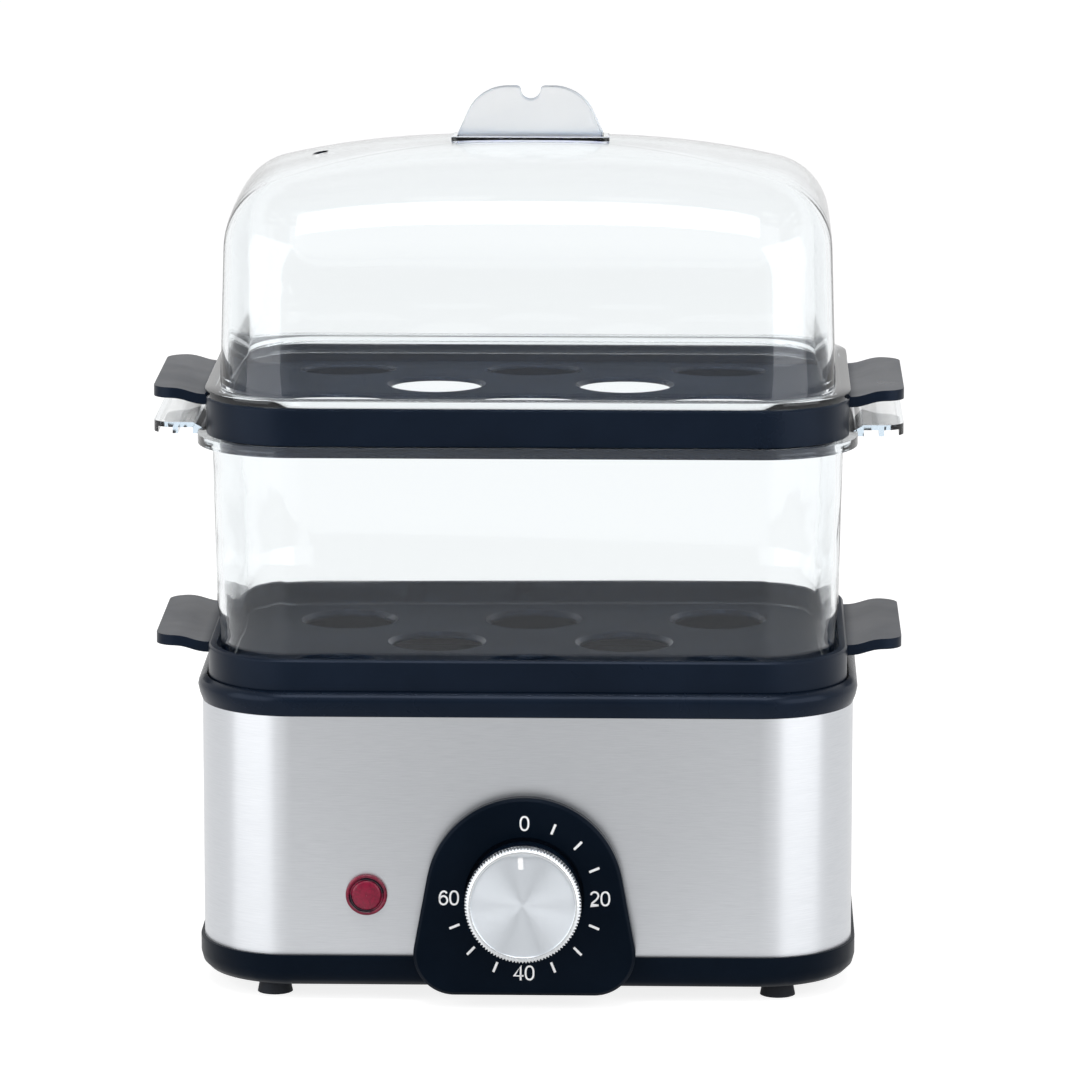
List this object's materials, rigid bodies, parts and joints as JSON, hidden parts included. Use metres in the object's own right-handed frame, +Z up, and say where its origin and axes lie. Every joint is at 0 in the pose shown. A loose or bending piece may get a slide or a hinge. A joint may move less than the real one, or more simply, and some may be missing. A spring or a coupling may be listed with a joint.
{
  "type": "two-tier electric egg boiler",
  "caption": "Countertop egg boiler: brushed steel base with a clockwork timer knob, stacked egg trays, clear middle tier and domed clear lid with a grip fin.",
  "frame": {"origin": "on the table, under the middle of the box that holds the whole appliance", "axes": "+Z up, +X to the right as the dial is read, the dial faces -Y"},
  "size_m": [0.2202, 0.1519, 0.2621],
  "materials": {
    "black_moulding": "satin black moulded polypropylene",
    "brushed_stainless": "stainless sheet brushed sideways",
    "black_gloss": "glossy black moulding",
    "foot_rubber": "black rubber",
    "zinc_steel": "zinc-plated steel",
    "pan_coating": "dark non-stick coating on aluminium",
    "seal_silicone": "translucent grey silicone",
    "heater_sheath": "drawn aluminium sheath",
    "thermostat_body": "aluminium cap",
    "fuse_sleeve": "woven glass sleeve",
    "timer_case": "pressed steel case",
    "bell_steel": "nickel-plated steel",
    "shaft_steel": "turned steel",
    "spun_aluminium": "spun and knurled aluminium",
    "red_lens": "translucent red acrylic",
    "bulb_glass": "clear glass",
    "gland_rubber": "black rubber",
    "block_nylon": "natural nylon",
    "tray_black": "glossy black moulding",
    "clear_plastic": "clear moulded plastic"
  },
  "bodies": {
    "base": {"base_pan": "black_moulding", "steel_sleeve": "brushed_stainless", "base_collar": "black_gloss", "rubber_feet": "foot_rubber", "case_screws": "zinc_steel", "water_pan": "pan_coating", "pan_seal": "seal_silicone", "pan_clips": "zinc_steel", "heater_bar": "heater_sheath", "heater_clamp": "zinc_steel", "thermostat": "thermostat_body", "thermal_fuse": "fuse_sleeve", "timer_bezel": "black_moulding", "timer_unit": "timer_case", "timer_screws": "zinc_steel", "timer_bell": "bell_steel", "lamp_lens": "red_lens", "lamp_bulb": "bulb_glass", "lamp_clip": "zinc_steel", "cord_gland": "gland_rubber", "terminal_block": "block_nylon"},
    "knob": {"timer_knob": "black_gloss", "knob_cap": "spun_aluminium", "timer_shaft": "shaft_steel"},
    "lower_tray": {"lower_egg_tray": "tray_black"},
    "middle_tier": {"clear_tier": "clear_plastic"},
    "upper_tray": {"upper_egg_tray": "tray_black"},
    "cover": {"lid": "clear_plastic"}
  },
  "joints": [
    {"name": "timer_turn", "type": "hinge", "parent": "base", "child": "knob", "pos_m": [0, -0.05821, 0.0336], "axis": [0, 0.9969, -0.0785], "range_deg": [0, 270]},
    {"name": "lower_tray_lift", "type": "slide", "parent": "base", "child": "lower_tray", "axis": [0, 0, 1], "range_m": [0, 0.03]},
    {"name": "tier_lift", "type": "slide", "parent": "lower_tray", "child": "middle_tier", "axis": [0, 0, 1], "range_m": [0, 0.07]},
    {"name": "upper_tray_lift", "type": "slide", "parent": "middle_tier", "child": "upper_tray", "axis": [0, 0, 1], "range_m": [0, 0.03]},
    {"name": "lid_lift", "type": "slide", "parent": "upper_tray", "child": "cover", "axis": [0, 0, 1], "range_m": [0, 0.09]}
  ]
}
